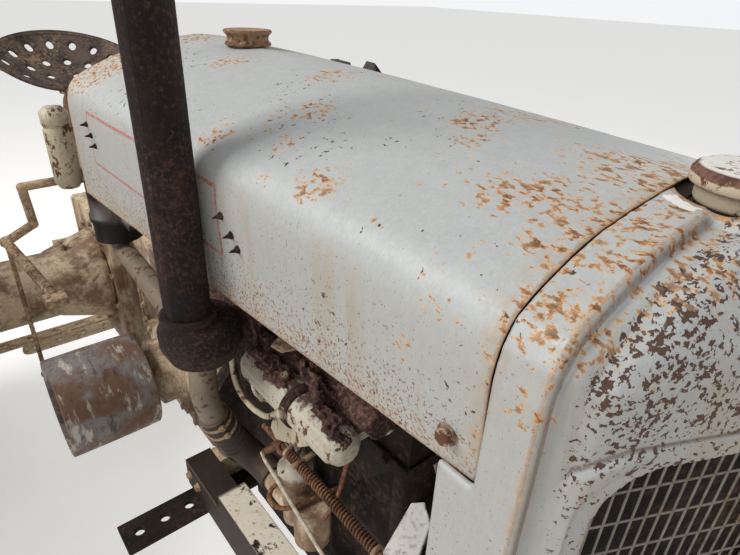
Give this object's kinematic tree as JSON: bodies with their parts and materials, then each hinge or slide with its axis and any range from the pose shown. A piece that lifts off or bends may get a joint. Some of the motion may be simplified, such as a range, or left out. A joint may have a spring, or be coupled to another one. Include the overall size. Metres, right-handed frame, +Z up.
{
  "type": "vintage tractor",
  "caption": "Weathered three-wheel row-crop farm tractor with a long hood, prow-shaped grille, side belt pulley, exhaust stack, perforated pan seat and steering single front wheel.",
  "frame": {"origin": "on the ground, at the centre of the bounding box's bottom face, on the tractor's centre plane", "axes": "-Y forwards, +Y to the rear, +X to the tractor's left, +Z up; the axles lie along X"},
  "size_m": [1.97, 3.0479, 1.87],
  "materials": {
    "faded_paint": "faded, rust-spotted paint",
    "cream_paint": "old cream paint, flaking",
    "rusted_casting": "dark rust",
    "worn_casting": "worn and oily",
    "rusted_steel": "rust-tanned steel",
    "worn_steel": "worn steel",
    "black_steel": "old black paint",
    "hose_rubber": "dull",
    "tyre_rubber": "dusty"
  },
  "bodies": {
    "chassis": {"hood": "faded_paint", "nose_shell": "faded_paint", "grille": "worn_steel", "radiator": "rusted_casting", "radiator_cap": "cream_paint", "fuel_tank": "rusted_steel", "fuel_cap": "rusted_steel", "engine_block": "rusted_casting", "cylinder_head": "rusted_casting", "oil_pan": "rusted_casting", "intake_manifold": "cream_paint", "exhaust_manifold": "rusted_casting", "exhaust_elbow": "rusted_casting", "exhaust_stack": "rusted_steel", "carburettor": "worn_casting", "air_cleaner": "black_steel", "pre_cleaner": "cream_paint", "air_pipe": "worn_steel", "air_hose": "hose_rubber", "upper_hose": "hose_rubber", "governor_linkage": "rusted_steel", "fan_belt": "hose_rubber", "starter_motor": "rusted_casting", "magneto": "worn_casting", "transmission_case": "worn_casting", "final_drive": "worn_casting", "pulley_gearbox": "worn_casting", "frame_rails": "rusted_steel", "front_bolster": "worn_casting", "steering_box": "worn_casting", "seat": "rusted_steel", "seat_spring": "rusted_steel", "brake_linkage": "rusted_steel", "clutch_pedal": "rusted_steel", "shift_lever": "black_steel", "hitch_bars": "rusted_steel", "cross_bar": "rusted_steel", "drawbar": "worn_casting"},
    "front_fork": {"front_fork": "worn_casting"},
    "front_wheel": {"front_rim": "rusted_steel", "front_tyre": "tyre_rubber"},
    "rear_wheel_left": {"rear_wheel_left": "rusted_steel", "rear_tyre_left": "tyre_rubber"},
    "rear_wheel_right": {"rear_wheel_right": "rusted_steel", "rear_tyre_right": "tyre_rubber"},
    "belt_pulley": {"belt_pulley": "rusted_steel"},
    "fan": {"fan": "worn_steel"},
    "pitman_arm": {"pitman_arm": "worn_casting"},
    "drag_link": {"drag_link": "rusted_steel"},
    "steering_wheel": {"steering_wheel": "black_steel"},
    "pto_shaft": {"pto_shaft": "worn_steel"}
  },
  "joints": [
    {"name": "fork_steer", "type": "hinge", "parent": "chassis", "child": "front_fork", "pos_m": [0, -1.179, 0.8], "axis": [0, 0, 1], "range_deg": [-45, 45]},
    {"name": "front_wheel_spin", "type": "hinge", "parent": "front_fork", "child": "front_wheel", "pos_m": [0, -1.179, 0.345], "axis": [1, 0, 0], "continuous": true},
    {"name": "rear_wheel_left_spin", "type": "hinge", "parent": "chassis", "child": "rear_wheel_left", "pos_m": [0.838, 0.851, 0.61], "axis": [1, 0, 0], "continuous": true},
    {"name": "rear_wheel_right_spin", "type": "hinge", "parent": "chassis", "child": "rear_wheel_right", "pos_m": [-0.838, 0.851, 0.61], "axis": [1, 0, 0], "continuous": true},
    {"name": "belt_pulley_spin", "type": "hinge", "parent": "chassis", "child": "belt_pulley", "pos_m": [-0.3, 0.215, 0.621], "axis": [1, 0, 0], "continuous": true},
    {"name": "fan_spin", "type": "hinge", "parent": "chassis", "child": "fan", "pos_m": [0, -0.65, 1], "axis": [0, 1, 0], "continuous": true},
    {"name": "pto_spin", "type": "hinge", "parent": "chassis", "child": "pto_shaft", "pos_m": [0, 1.05, 0.51], "axis": [0, 1, 0], "continuous": true},
    {"name": "steering_wheel_turn", "type": "hinge", "parent": "chassis", "child": "steering_wheel", "pos_m": [0, 0.372, 0.95], "axis": [0, 0.4335, 0.9012], "range_deg": [-360, 360]},
    {"name": "pitman_swing", "type": "hinge", "parent": "chassis", "child": "pitman_arm", "pos_m": [0, 0.34, 0.868], "axis": [0, 0, 1], "range_deg": [-45, 45]},
    {"name": "drag_link_swing", "type": "hinge", "parent": "pitman_arm", "child": "drag_link", "pos_m": [0.27, 0.34, 0.846], "axis": [0, 0, 1], "range_deg": [-45, 45]}
  ],
  "couplings": [
    {"joint": "steering_wheel_turn", "follows": "fork_steer", "ratio": 8},
    {"joint": "pitman_swing", "follows": "fork_steer", "ratio": 1},
    {"joint": "drag_link_swing", "follows": "fork_steer", "ratio": -1}
  ]
}
